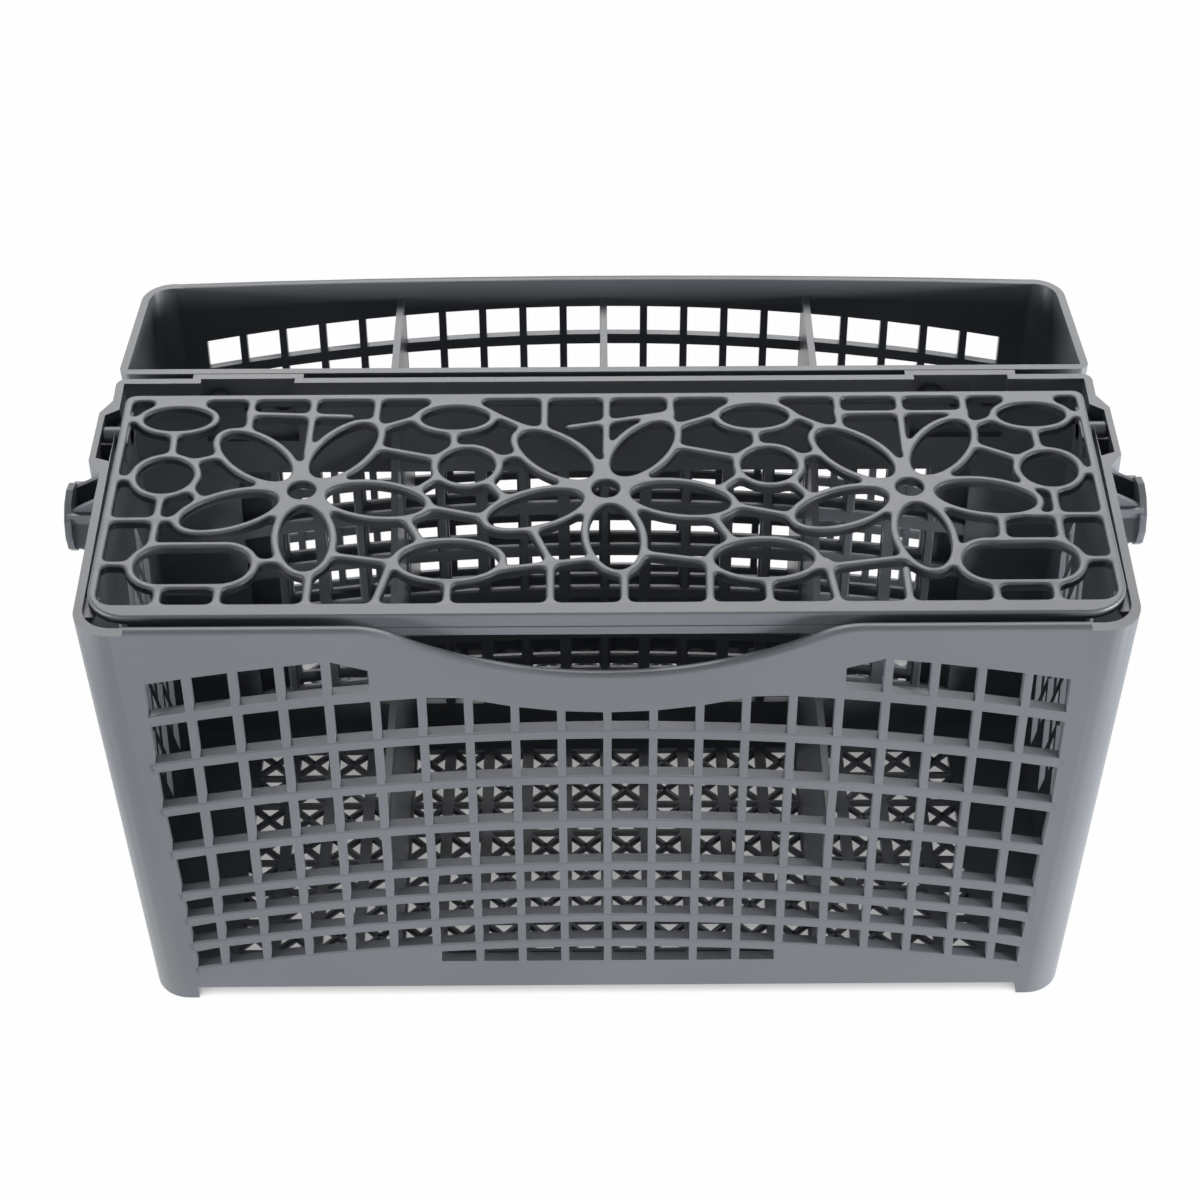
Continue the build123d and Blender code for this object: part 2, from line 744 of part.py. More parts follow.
with BuildPart() as lid:
    with BuildSketch(Plane.XY.offset(lid_underside)):
        add(lid_outline(0, 0, 0, lid_front_corner, lid_back_chamfer))
        add(lid_outline(lid_front_band, lid_back_bar, lid_side_bar, lid_inner_corner, 0),
            mode=Mode.SUBTRACT)
        add(lid_struts() + lid_shapes(rib))
        add(lid_shapes(0), mode=Mode.SUBTRACT)
    extrude(amount=lid_thickness)

    # Front skirt behind the thumb notch
    with Locations((0, lid_front_y, lid_underside)):
        Box(2 * (lid_front_half - lid_front_corner), lid_skirt_thickness,
            lid_skirt + lid_rise - lid_thickness, align=(Align.CENTER, Align.MIN, Align.MAX))

    # Ears and hinge pins
    for side in (-1, 1):
        ear_root = side * (lid_half(hinge_y) - ear_thickness)
        pin_end = side * (hinge_half + housing_reach - pocket_skin - pin_clearance)
        with BuildSketch(Plane.YZ.offset(ear_root)):
            with Locations((hinge_y, (lid_top + hinge_z - ear_drop) / 2)):
                Trapezoid(2 * ear_long, ear_drop + lid_top - hinge_z, ear_slope,
                          rotation=180, align=(Align.CENTER, Align.CENTER))
        extrude(amount=side * ear_thickness)
        with BuildSketch(Plane.YZ.offset(ear_root)):
            with Locations((hinge_y, hinge_z)):
                RegularPolygon(pin_radius, pin_sides)
        extrude(amount=pin_end - ear_root)

lid.part.label = "lid"

os.makedirs("parts", exist_ok=True)
export_step(front_basket.part, "parts/front_basket.step")
export_step(rear_basket.part, "parts/rear_basket.step")
export_step(lid.part, "parts/lid.step")
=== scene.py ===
from math import acos, cos, pi, radians, sin, tan

import bmesh
import bpy
import numpy as np
from mathutils import Matrix, Vector


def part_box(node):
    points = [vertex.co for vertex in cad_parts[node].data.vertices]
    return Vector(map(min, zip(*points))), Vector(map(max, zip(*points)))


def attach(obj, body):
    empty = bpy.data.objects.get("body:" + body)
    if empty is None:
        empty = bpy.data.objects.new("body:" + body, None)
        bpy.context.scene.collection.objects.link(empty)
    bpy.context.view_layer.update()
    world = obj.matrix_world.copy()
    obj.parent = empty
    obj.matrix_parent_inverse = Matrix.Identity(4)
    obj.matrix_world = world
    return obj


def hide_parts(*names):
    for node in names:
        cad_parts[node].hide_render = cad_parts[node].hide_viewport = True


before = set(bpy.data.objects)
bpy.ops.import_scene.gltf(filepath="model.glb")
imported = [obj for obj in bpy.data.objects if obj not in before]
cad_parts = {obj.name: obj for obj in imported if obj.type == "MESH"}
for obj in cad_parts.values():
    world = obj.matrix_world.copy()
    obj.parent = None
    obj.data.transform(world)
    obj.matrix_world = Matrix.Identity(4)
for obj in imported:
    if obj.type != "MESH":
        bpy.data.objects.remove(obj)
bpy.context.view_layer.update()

# Sizes in millimetres, as in the part's source; MM turns them into metres
MM = 0.001
EDGE_ROUND = 0.32
SMOOTH_ANGLE = radians(35)

# Bins: faces and half lengths at the rim, and drafts in degrees
RIM_HEIGHT = 124.0
WALL = 2.0
FRONT_WALL = 2.8
FRONT_Y = -70.0
FRONT_BACK_Y = 27.7
REAR_FRONT_Y = 29.8
REAR_Y = 70.0
FRONT_HALF = 120.0
JOINT_HALF = 121.75
REAR_HALF = 119.5
END_DRAFT = 2.6
FACE_DRAFT = 1.35
JOINT_DRAFT = 0.5

# Grid of the long walls: the scene adds the bars that the solids leave out
GRID_PITCH = 10.6
ARCH_RADIUS = 530.0
ROW_BAR = 3.0
INNER_BAR = 2.5
FINE_SKIN = 0.1
BAR_SOFT = 0.45
ROW_STEP = 5.3
FIRST_ROW = 107.6
TALL_PITCH = 14.9
TALL_ROWS = 4
SHORT_PITCH = 9.3
SHORT_ROWS = 3
INNER_FIRST = 83.8
INNER_PITCH = 14.3
INNER_ROWS = 5
INNER_ROW_BAR = 3.7
REAR_ROWS = range(2, 7)
INNER_LOW = 15.0
INNER_HIGH = 97.0
FRONT_INNER_BARS = range(-8, 9, 2)
REAR_INNER_BARS = (-7, -3, -1, 1, 3, 7)
FRONT_INNER_HALF = 9 * GRID_PITCH
REAR_INNER_HALF = 8 * GRID_PITCH
REAR_WALL_HALF = 103.0
GRID_HALF = 107.3
GRID_TOP = 119.5
ROW_RAISE = 0.25

# Thumb notch and the rounded lip of the front rim
NOTCH_DEPTH = 14.0
NOTCH_RADIUS = 105.0
NOTCH_SHOULDER = 20.0
LIP_HALF = 108.0
LIP_RISE = 0.8
LIP_SKIN = 0.03
LIP_ROOT = 0.6
LIP_STEPS = 12
RIM_STEPS = 24

# Floors: eight-armed stars, with the solids' bars as their upright arms. A span is the number of bars
# each way from the middle, the nearest and farthest y, and the y of one row of stars
FLOOR_LOW = 4.0
FLOOR_TOP = 6.2
FLOOR_PITCH = GRID_PITCH
FLOOR_BAR = 1.7
FLOOR_SPANS = {"front_basket": (9, -58.0, 17.5, -4.0), "rear_basket": (9, 40.0, 58.0, 49.0)}

# End walls: each diamond of the solids is parted into four
DIAMOND_WIDTH = 18.0
DIAMOND_HEIGHT = 42.0
DIAMOND_BAR = 1.7
LATTICE_LOW = 14.0
LATTICE_ROWS = 3

# Lid pattern, measured from the lid's middle line and its front edge
RIB = 1.9
RIB_HEIGHT = 2.5
RIB_ROUND = 0.62
RIB_FILLET = 1.3
LID_FRONT_HALF = 117.66
LID_BACK_HALF = 118.3
LID_SIDE_BAR = 2.1
LID_BACK_BAR = 2.5
LID_FRONT_BAND = 4.6
LID_LEDGE = 0.35
LID_LEDGE_DROP = 3.4
LID_SKIRT_THICKNESS = 1.8
LID_SKIRT_DROP = 5.7
SKIRT_SKIN = 0.02
SKIRT_ROUND = 0.2
SKIRT_LAP = 1.0
SKIRT_SINK = 0.05
LID_FRONT_CORNER = 10.0
LID_BACK_CORNER = 2.5
LID_INNER_CORNER = 4.0
FLOWER_PITCH = 72.0
FLOWER_Y = 45.8
FLOWER_EYE = 3.3
FLOWER_WEB = 11.0
PETALS = 5
PETAL_TURN = -84.0
PETAL_PLACE = 18.0
PETAL_LONG = 12.0
PETAL_WIDE = 5.8
OVAL_X = (-104.4, -36.6, 36.6, 104.4)
OVAL_Y = 74.3
OVAL_LONG = 8.4
OVAL_WIDE = 4.7
OVAL_WEB = 6.2
RING_X = (-105.0, -33.2, 39.2, 106.0)
RING_Y = (51.8, 55.0, 54.8, 52.6)
RING_RADIUS = 6.8
SIDE_SLOT_X = 95.0
SIDE_SLOT_Y = 18.4
SIDE_SLOT_LONG = 13.4
SIDE_SLOT_WIDE = 6.6
SIDE_SLOT_LEGS = 6.8
FRONT_OVAL_X = 36.2
FRONT_OVAL_Y = 19.6
FRONT_OVAL_LONG = 11.5
FRONT_OVAL_WIDE = 6.5
CROSS_Y = 35.2

# What differs between the struts of the three flowers, left to right
BACK_TIES = (((-14.8, 76.4), (10.0, 75.0)), ((-9.0, 70.2), (16.0, 75.8)), ((-14.8, 75.5), (16.0, 75.6)))
RING_STRUT_Y = (58.3, 58.3, 54.8)
FOOT_X = (4.0, 4.0, -3.6)
SIDE_STRUT_Y = (18.4, 16.4, 16.4)

# Lid hinge
HINGE_Y = 7.0
HINGE_Z = 121.8
PIN_RADIUS = 2.3
EAR_LONG = 6.5
EAR_DROP = 3.6
EAR_THICKNESS = 2.6
EAR_ROUND = 0.6
EAR_SINK = 0.5

lid_low, lid_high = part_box("lid")
lid_front = lid_low.y / MM
lid_depth = (lid_high.y - lid_low.y) / MM
lid_top = lid_high.z / MM
pin_reach = lid_high.x / MM


def plastic(name, tone):
    """Moulded grey polypropylene: a fine spark-eroded grain, faint flow mottling and a soft sheen."""
    material = bpy.data.materials.new(name)
    material.use_nodes = True
    nodes = material.node_tree.nodes
    links = material.node_tree.links
    shader = nodes["Principled BSDF"]
    shader.inputs["Specular IOR Level"].default_value = 0.5
    place = nodes.new("ShaderNodeTexCoord")

    mottle = nodes.new("ShaderNodeTexNoise")
    mottle.inputs["Scale"].default_value = 26.0
    mottle.inputs["Detail"].default_value = 5.0
    links.new(place.outputs["Object"], mottle.inputs["Vector"])
    colours = nodes.new("ShaderNodeValToRGB")
    colours.color_ramp.elements[0].position = 0.30
    colours.color_ramp.elements[0].color = (*[0.93 * c for c in tone], 1)
    colours.color_ramp.elements[1].position = 0.70
    colours.color_ramp.elements[1].color = (*[1.06 * c for c in tone], 1)
    links.new(mottle.outputs["Fac"], colours.inputs["Fac"])
    links.new(colours.outputs["Color"], shader.inputs["Base Color"])

    rough = nodes.new("ShaderNodeMapRange")
    rough.inputs["To Min"].default_value = 0.30
    rough.inputs["To Max"].default_value = 0.42
    links.new(mottle.outputs["Fac"], rough.inputs["Value"])
    links.new(rough.outputs["Result"], shader.inputs["Roughness"])

    grain = nodes.new("ShaderNodeTexNoise")
    grain.inputs["Scale"].default_value = 2600.0
    grain.inputs["Detail"].default_value = 3.0
    links.new(place.outputs["Object"], grain.inputs["Vector"])
    bump = nodes.new("ShaderNodeBump")
    bump.inputs["Strength"].default_value = 0.10
    bump.inputs["Distance"].default_value = 0.00008
    links.new(grain.outputs["Fac"], bump.inputs["Height"])
    links.new(bump.outputs["Normal"], shader.inputs["Normal"])
    return material


GREY = (0.160, 0.173, 0.193)
bin_plastic = plastic("bin_plastic", GREY)
lid_plastic = plastic("lid_plastic", GREY)


def finish_piece(bm, name, body, material):
    """Turn a bmesh in millimetres into a piece that rides on a body."""
    bmesh.ops.recalc_face_normals(bm, faces=bm.faces)
    mesh = bpy.data.meshes.new(name)
    bm.to_mesh(mesh)
    bm.free()
    mesh.transform(Matrix.Scale(MM, 4))
    mesh.materials.append(material)
    mesh.shade_smooth()
    mesh.set_sharp_from_angle(angle=SMOOTH_ANGLE)
    piece = bpy.data.objects.new(name, mesh)
    bpy.context.scene.collection.objects.link(piece)
    weighted = piece.modifiers.new("flat_faces", "WEIGHTED_NORMAL")
    weighted.keep_sharp = True
    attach(piece, body)
    return piece


def skin(bm, sections):
    """Join cross-sections of equal length with faces, and cap both ends."""
    rows = [[bm.verts.new(point) for point in section] for section in sections]
    size = len(rows[0])
    for here, there in zip(rows[:-1], rows[1:]):
        for side in range(size):
            bm.faces.new((here[side], here[(side + 1) % size], there[(side + 1) % size], there[side]))
    bm.faces.new(rows[0])
    bm.faces.new(rows[-1])


def add_bar(bm, path, normal, width, thick):
    """A bar with softened edges along a path in a plane."""
    a = width / 2
    b = thick / 2
    flat_a = a - BAR_SOFT
    flat_b = b - BAR_SOFT
    outline = [(a, flat_b), (flat_a, b), (-flat_a, b), (-a, flat_b),
               (-a, -flat_b), (-flat_a, -b), (flat_a, -b), (a, -flat_b)]
    sections = []
    for index, place in enumerate(path):
        before = path[max(index - 1, 0)]
        after = path[min(index + 1, len(path) - 1)]
        across = normal.cross(after - before).normalized()
        sections.append([place + u * across + v * normal for u, v in outline])
    skin(bm, sections)


def row_heights():
    """Middle heights of the arched rows, top to bottom."""
    heights = [FIRST_ROW - TALL_PITCH * row for row in range(TALL_ROWS + 1)]
    return heights + [heights[-1] - SHORT_PITCH * (row + 1) for row in range(SHORT_ROWS)]


def long_wall(rim_y, lean):
    """The middle plane of a long wall: a place on it from x and z, and its normal."""
    def place(x, z):
        return Vector((x, rim_y - (RIM_HEIGHT - z) * lean, z))
    return place, Vector((0, 1, -lean)).normalized()


def arched_row(place, half, height):
    """Points along an arched row of a long wall."""
    steps = round(2 * half / ROW_STEP)
    path = []
    for step in range(steps + 1):
        x = half * (2 * step / steps - 1)
        path.append(place(x, height - x * x / (2 * ARCH_RADIUS)))
    return path


def add_wall_grid(bm, wall, half, heights, row_bar, columns):
    """Arched rows and upright bars within a long wall's thickness."""
    place, normal = wall
    thick = WALL - 2 * FINE_SKIN
    for height in heights:
        add_bar(bm, arched_row(place, half, height), normal, row_bar, thick)
    for column in columns:
        x = column * GRID_PITCH
        ends = [place(x, z) for z in (INNER_LOW, INNER_HIGH)]
        add_bar(bm, ends, normal, INNER_BAR, thick - FINE_SKIN)


def build_wall_grids():
    """The missing bars of the two inner walls, and the rows of the rear wall."""
    joint_lean = tan(radians(JOINT_DRAFT))
    face_lean = tan(radians(FACE_DRAFT))
    inner_heights = [INNER_FIRST - INNER_PITCH * row for row in range(INNER_ROWS)]
    bm = bmesh.new()
    add_wall_grid(bm, long_wall(FRONT_BACK_Y - WALL / 2, joint_lean), FRONT_INNER_HALF,
                  inner_heights, INNER_ROW_BAR, FRONT_INNER_BARS)
    finish_piece(bm, "front_inner_grid", "front_basket", bin_plastic)
    bm = bmesh.new()
    add_wall_grid(bm, long_wall(REAR_FRONT_Y + WALL / 2, -joint_lean), REAR_INNER_HALF,
                  inner_heights, INNER_ROW_BAR, REAR_INNER_BARS)
    finish_piece(bm, "rear_inner_grid", "rear_basket", bin_plastic)
    bm = bmesh.new()
    rear_heights = [row_heights()[row] for row in REAR_ROWS]
    add_wall_grid(bm, long_wall(REAR_Y - WALL / 2, face_lean), REAR_WALL_HALF, rear_heights, ROW_BAR, ())
    finish_piece(bm, "rear_wall_rows", "rear_basket", bin_plastic)


def build_front_rows():
    """The arched rows of the front wall, which stand a little proud of its upright bars."""
    place, normal = long_wall(FRONT_Y + FRONT_WALL / 2, -tan(radians(FACE_DRAFT)))
    bm = bmesh.new()
    for height in row_heights()[1:]:
        low = height - GRID_HALF ** 2 / (2 * ARCH_RADIUS)
        half = GRID_HALF - (GRID_TOP - low) * tan(radians(END_DRAFT))
        path = arched_row(place, half, height)
        add_bar(bm, path, normal, ROW_BAR + FINE_SKIN, FRONT_WALL + 2 * ROW_RAISE)
    finish_piece(bm, "front_wall_rows", "front_basket", bin_plastic)


def rim_line():
    """The front rim from its middle to the right, through notch and shoulder: x, z and slope angle."""
    notch_z = RIM_HEIGHT - NOTCH_DEPTH + NOTCH_RADIUS
    shoulder_z = RIM_HEIGHT - NOTCH_SHOULDER
    between = NOTCH_RADIUS + NOTCH_SHOULDER
    turn = acos((notch_z - shoulder_z) / between)
    shoulder_x = between * sin(turn)
    line = []
    for step in range(RIM_STEPS + 1):
        angle = turn * step / RIM_STEPS
        line.append((NOTCH_RADIUS * sin(angle), notch_z - NOTCH_RADIUS * cos(angle), angle))
    for step in range(1, RIM_STEPS + 1):
        angle = turn * (1 - step / RIM_STEPS)
        x = shoulder_x - NOTCH_SHOULDER * sin(angle)
        z = shoulder_z + NOTCH_SHOULDER * cos(angle)
        line.append((x, z, angle))
    line.append((LIP_HALF, RIM_HEIGHT, 0))
    return line


def build_lip():
    """A rounded lip on the front rim, along the thumb notch and both shoulders."""
    place, normal = long_wall(FRONT_Y + FRONT_WALL / 2, -tan(radians(FACE_DRAFT)))
    right = rim_line()
    line = [(-x, z, -angle) for x, z, angle in right[:0:-1]] + right
    half = FRONT_WALL / 2 + LIP_SKIN
    turns = [pi * step / LIP_STEPS for step in range(LIP_STEPS + 1)]
    outline = [(half * cos(turn), LIP_RISE * sin(turn)) for turn in turns]
    outline += [(-half, -LIP_ROOT), (half, -LIP_ROOT)]
    sections = []
    for x, z, angle in line:
        above = Vector((-sin(angle), 0, cos(angle)))
        sections.append([place(x, z) + u * normal + v * above for u, v in outline])
    bm = bmesh.new()
    skin(bm, sections)
    finish_piece(bm, "front_rim_lip", "front_basket", bin_plastic)


def build_floor(node):
    """Star lattice of one floor: bars along it and both diagonals, which cross on the solids' bars."""
    bars, near, far, star_y = FLOOR_SPANS[node]
    half = bars * FLOOR_PITCH
    middle = (FLOOR_LOW + FLOOR_TOP) / 2
    thick = FLOOR_TOP - FLOOR_LOW - 2 * FINE_SKIN
    up = Vector((0, 0, 1))
    bm = bmesh.new()
    rows = [star_y + number * FLOOR_PITCH for number in range(-bars, bars)]
    for y in rows:
        if near < y < far:
            ends = [Vector((x, y, middle)) for x in (-half, half)]
            add_bar(bm, ends, up, FLOOR_BAR, thick - FINE_SKIN)
    for sense in (-1, 1):
        for number in range(-3 * bars, 3 * bars):
            cross_x = number * FLOOR_PITCH
            spans = sorted(((near - star_y) * sense, (far - star_y) * sense))
            low = max(cross_x + spans[0], -half)
            high = min(cross_x + spans[1], half)
            if high - low > FLOOR_BAR:
                ends = [Vector((x, star_y + (x - cross_x) * sense, middle)) for x in (low, high)]
                add_bar(bm, ends, up, FLOOR_BAR, thick - 2 * FINE_SKIN)
    finish_piece(bm, node.replace("basket", "floor_lattice"), node, bin_plastic)


def build_end_lattice(node, near_y, near_half, far_y, far_half, count):
    """Crossed bars in every diamond of both end walls."""
    flare = (far_half - near_half) / (far_y - near_y)
    lean = tan(radians(END_DRAFT))
    thick = WALL - 2 * FINE_SKIN
    reach_y = DIAMOND_WIDTH / 4 + FINE_SKIN
    reach_z = DIAMOND_HEIGHT / 4 + FINE_SKIN
    bm = bmesh.new()
    for side in (-1, 1):
        normal = Vector((1, -side * flare, -side * lean)).normalized()

        def place(y, z):
            half = near_half + flare * (y - near_y) - (RIM_HEIGHT - z) * lean - WALL / 2
            return Vector((side * half, y, z))

        for row in range(LATTICE_ROWS):
            in_row = count - row % 2
            z = LATTICE_LOW + (row + 1) * DIAMOND_HEIGHT / 2
            for number in range(in_row):
                y = (near_y + far_y) / 2 + (number - (in_row - 1) / 2) * DIAMOND_WIDTH
                for sense in (-1, 1):
                    ends = [place(y + end * sense * reach_y, z + end * reach_z) for end in (-1, 1)]
                    add_bar(bm, ends, normal, DIAMOND_BAR, thick)
    finish_piece(bm, node.replace("basket", "end_lattice"), node, bin_plastic)


build_wall_grids()
build_front_rows()
build_lip()
build_floor("front_basket")
build_floor("rear_basket")
build_end_lattice("front_basket", FRONT_Y, FRONT_HALF, FRONT_BACK_Y, JOINT_HALF, 4)
build_end_lattice("rear_basket", REAR_FRONT_Y, JOINT_HALF, REAR_Y, REAR_HALF, 2)


def lid_half(y):
    """Half width of the lid at a distance from its front edge."""
    return LID_FRONT_HALF + y / lid_depth * (LID_BACK_HALF - LID_FRONT_HALF)


def outline_distance(x, y, front, back, inset, front_radius, back_radius):
    """Signed distance from the lid's outline, or from one inside it; negative inside."""
    middle = (front + back) / 2
    radius = np.where(y < middle, front_radius, back_radius)
    over_x = np.abs(x) - lid_half(y) + inset + radius
    over_y = np.abs(y - middle) - (back - front) / 2 + radius
    corner = np.hypot(np.maximum(over_x, 0), np.maximum(over_y, 0))
    return corner + np.minimum(np.maximum(over_x, over_y), 0) - radius


def oval_distance(x, y, centre, long, wide, turn):
    """Signed distance from an oval line, close to it; negative inside."""
    along = (x - centre[0]) * cos(turn) + (y - centre[1]) * sin(turn)
    across = (y - centre[1]) * cos(turn) - (x - centre[0]) * sin(turn)
    level = np.maximum(np.hypot(along / long, across / wide), 1e-6)
    slope = np.hypot(along / long ** 2, across / wide ** 2) + 1e-9
    return level * (level - 1) / slope


def slot_distance(x, y, centre, long, wide):
    """Signed distance from the line of a straight-sided slot with round ends."""
    beyond = np.maximum(np.abs(x - centre[0]) - long + wide, 0)
    return np.hypot(beyond, y - centre[1]) - wide


def strut_distance(x, y, start, end):
    """Distance from the line between two points."""
    run_x = end[0] - start[0]
    run_y = end[1] - start[1]
    share = ((x - start[0]) * run_x + (y - start[1]) * run_y) / (run_x ** 2 + run_y ** 2)
    share = np.clip(share, 0, 1)
    return np.hypot(x - start[0] - share * run_x, y - start[1] - share * run_y)


def smooth_union(first, second):
    """Join two fields with a fillet where they meet."""
    near = np.maximum(RIB_FILLET - np.abs(first - second), 0)
    return np.minimum(first, second) - near ** 2 / (4 * RIB_FILLET)


def flower_places():
    """Centres of the flowers, left to right."""
    return [(number * FLOWER_PITCH, FLOWER_Y) for number in (-1, 0, 1)]


def lid_ovals():
    """Every oval opening of the lid: centre, half length, half width, turn."""
    ovals = []
    for flower in flower_places():
        ovals.append((flower, FLOWER_EYE, FLOWER_EYE, 0))
        for number in range(PETALS):
            turn = radians(PETAL_TURN + number * 360 / PETALS)
            centre = (flower[0] + PETAL_PLACE * cos(turn), flower[1] + PETAL_PLACE * sin(turn))
            ovals.append((centre, PETAL_LONG, PETAL_WIDE, turn))
    ovals += [((x, OVAL_Y), OVAL_LONG, OVAL_WIDE, 0) for x in OVAL_X]
    ovals += [((x, y), RING_RADIUS, RING_RADIUS, 0) for x, y in zip(RING_X, RING_Y)]
    for x in (-FRONT_OVAL_X, FRONT_OVAL_X):
        ovals.append(((x, FRONT_OVAL_Y), FRONT_OVAL_LONG, FRONT_OVAL_WIDE, 0))
    return ovals


def lid_struts():
    """End points of the ribs that tie the openings to each other and to the frame."""
    back = lid_depth
    front = LID_FRONT_BAND / 2
    struts = []
    for index, (flower, _) in enumerate(flower_places()):
        # From the back bar to the upper petals, and the tie between these ribs
        struts.append(((flower - 14.8, back), (flower - 14.8, 67.8)))
        struts.append(((flower + 16.2, back), (flower + 16.0, 69.8)))
        struts.append(((flower + 0.5, back), (flower + 0.2, 59.8)))
        struts.append(tuple((flower + x, y) for x, y in BACK_TIES[index]))
        # From the petals to the rings and ovals beside them
        struts.append(((flower + 16.6, 62.6), (flower + 31.0, RING_STRUT_Y[index])))
        struts.append(((flower + 27.0, 45.8), (flower + 33.0, 51.8)))
        struts.append(((flower + 17.6, 70.6), (flower + 28.0, 75.4)))
        struts.append(((flower - 27.0, 57.4), (flower - 19.0, 60.0)))
        struts.append(((flower - 28.0, 49.2), (flower - 22.6, 40.8)))
        if index > 0:
            struts.append(((flower - 27.0, 75.6), (flower - 19.0, 70.0)))
        if index < 2:
            struts.append(((flower + 29.6, 39.6), (flower + 45.0, 35.0)))
            struts.append(((flower + 25.4, 34.6), (flower + 29.4, 26.0)))
            struts.append(((flower + 8.0, 22.0), (flower + 26.0, 18.4)))
        # From the lower petal to the front band
        foot_x = flower + FOOT_X[index]
        struts.append(((foot_x, 15.8), (foot_x, front)))
        struts.append(((flower - 24.0, SIDE_STRUT_Y[index]), (flower - 4.0, 19.8)))
    for oval_x, ring_y in zip(OVAL_X, RING_Y):
        struts.append(((oval_x - 0.4, OVAL_Y), (oval_x + 0.4, ring_y)))
    # Legs of the front ovals
    struts.append(((-49.4, 19.2), (-53.0, front)))
    struts.append(((-16.8, 29.8), (-12.9, 19.2)))
    struts.append(((-12.9, 19.2), (-12.8, front)))
    struts.append(((23.7, 18.8), (23.2, front)))
    struts.append(((50.6, 18.8), (52.4, front)))
    for x in (-FRONT_OVAL_X, FRONT_OVAL_X + 0.6):
        struts.append(((x, 13.8), (x, front)))
    # Outer ends
    for side, ring_x, ring_y in ((-1, RING_X[0], RING_Y[0]), (1, RING_X[-1], RING_Y[-1])):
        edge = side * LID_BACK_HALF
        tied = ((ring_x, ring_y - 0.8), (side * SIDE_SLOT_X, SIDE_SLOT_Y + 0.6),
                (side * OVAL_X[-1], OVAL_Y), (side * 100.0, CROSS_Y))
        for x, y in tied:
            struts.append(((edge, y), (x, y)))
        struts.append(((ring_x, ring_y), (side * 105.4, SIDE_SLOT_Y)))
        for leg in (-SIDE_SLOT_LEGS, SIDE_SLOT_LEGS):
            struts.append(((side * SIDE_SLOT_X + leg, SIDE_SLOT_Y), (side * SIDE_SLOT_X + leg, front)))
    struts.append(((92.4, 33.8), (91.8, 23.8)))
    return struts


def lid_field(x, y):
    """Signed distance from the edge of the lid's plastic, seen from above; negative in the plastic."""
    outer = outline_distance(x, y, 0, lid_depth, 0, LID_FRONT_CORNER, LID_BACK_CORNER)
    inner = outline_distance(x, y, LID_FRONT_BAND, lid_depth - LID_BACK_BAR, LID_SIDE_BAR,
                             LID_INNER_CORNER, LID_BACK_CORNER / 2)
    field = np.maximum(outer, -inner)
    lines = [oval_distance(x, y, centre, long + RIB / 2, wide + RIB / 2, turn)
             for centre, long, wide, turn in lid_ovals()]
    for side in (-1, 1):
        lines.append(slot_distance(x, y, (side * SIDE_SLOT_X, SIDE_SLOT_Y),
                                   SIDE_SLOT_LONG + RIB / 2, SIDE_SLOT_WIDE + RIB / 2))
    for line in lines:
        field = smooth_union(field, np.abs(line) - RIB / 2)
    for flower in flower_places():
        field = smooth_union(field, np.hypot(x - flower[0], y - flower[1]) - FLOWER_WEB)
    for oval_x in OVAL_X:
        field = smooth_union(field, np.maximum(np.abs(x - oval_x) - OVAL_WEB, OVAL_Y - y))
    for start, end in lid_struts():
        field = smooth_union(field, strut_distance(x, y, start, end) - RIB / 2)
    for line in lines:
        field = np.maximum(field, -line - RIB / 2)
    return np.maximum(field, outer)


def contour_loops(step=0.4, margin=1.0):
    """Closed outlines of the lid's plastic, traced through a fine grid of its field."""
    reach = LID_BACK_HALF + margin
    xs = np.arange(-reach, reach + step, step)
    ys = np.arange(-margin, lid_depth + margin + step, step)
    values = lid_field(*np.meshgrid(xs, ys, indexing="ij"))
    inside = values < 0
    filled = inside[:-1, :-1].astype(int) + inside[1:, :-1] + inside[1:, 1:] + inside[:-1, 1:]
    following = {}
    for i, j in np.argwhere((filled > 0) & (filled < 4)).tolist():
        corners = ((i, j), (i + 1, j), (i + 1, j + 1), (i, j + 1))
        states = [bool(inside[corner]) for corner in corners]
        edges = [tuple(sorted((corners[k], corners[(k + 1) % 4]))) for k in range(4)]
        for leave in range(4):
            if states[leave] and not states[(leave + 1) % 4]:
                enter = (leave + 1) % 4
                while not states[(enter + 1) % 4]:
                    enter = (enter + 1) % 4
                following[edges[leave]] = edges[enter]
    loops = []
    while following:
        start, here = following.popitem()
        crossed = [start]
        while here != start:
            crossed.append(here)
            here = following.pop(here)
        points = []
        for first, last in crossed:
            share = values[first] / (values[first] - values[last])
            points.append((xs[first[0]] + share * (xs[last[0]] - xs[first[0]]),
                           ys[first[1]] + share * (ys[last[1]] - ys[first[1]])))
        loops.append(np.array(points))
    return loops


def even_loop(points, spacing=0.85):
    """The same closed line with evenly spaced, slightly smoothed points."""
    closed = np.vstack((points, points[:1]))
    run = np.concatenate(((0,), np.cumsum(np.hypot(*np.diff(closed, axis=0).T))))
    count = max(12, round(run[-1] / spacing))
    places = np.linspace(0, run[-1], count, endpoint=False)
    even = np.stack([np.interp(places, run, closed[:, axis]) for axis in (0, 1)], axis=1)
    return (np.roll(even, 1, axis=0) + 2 * even + np.roll(even, -1, axis=0)) / 4, run[-1]


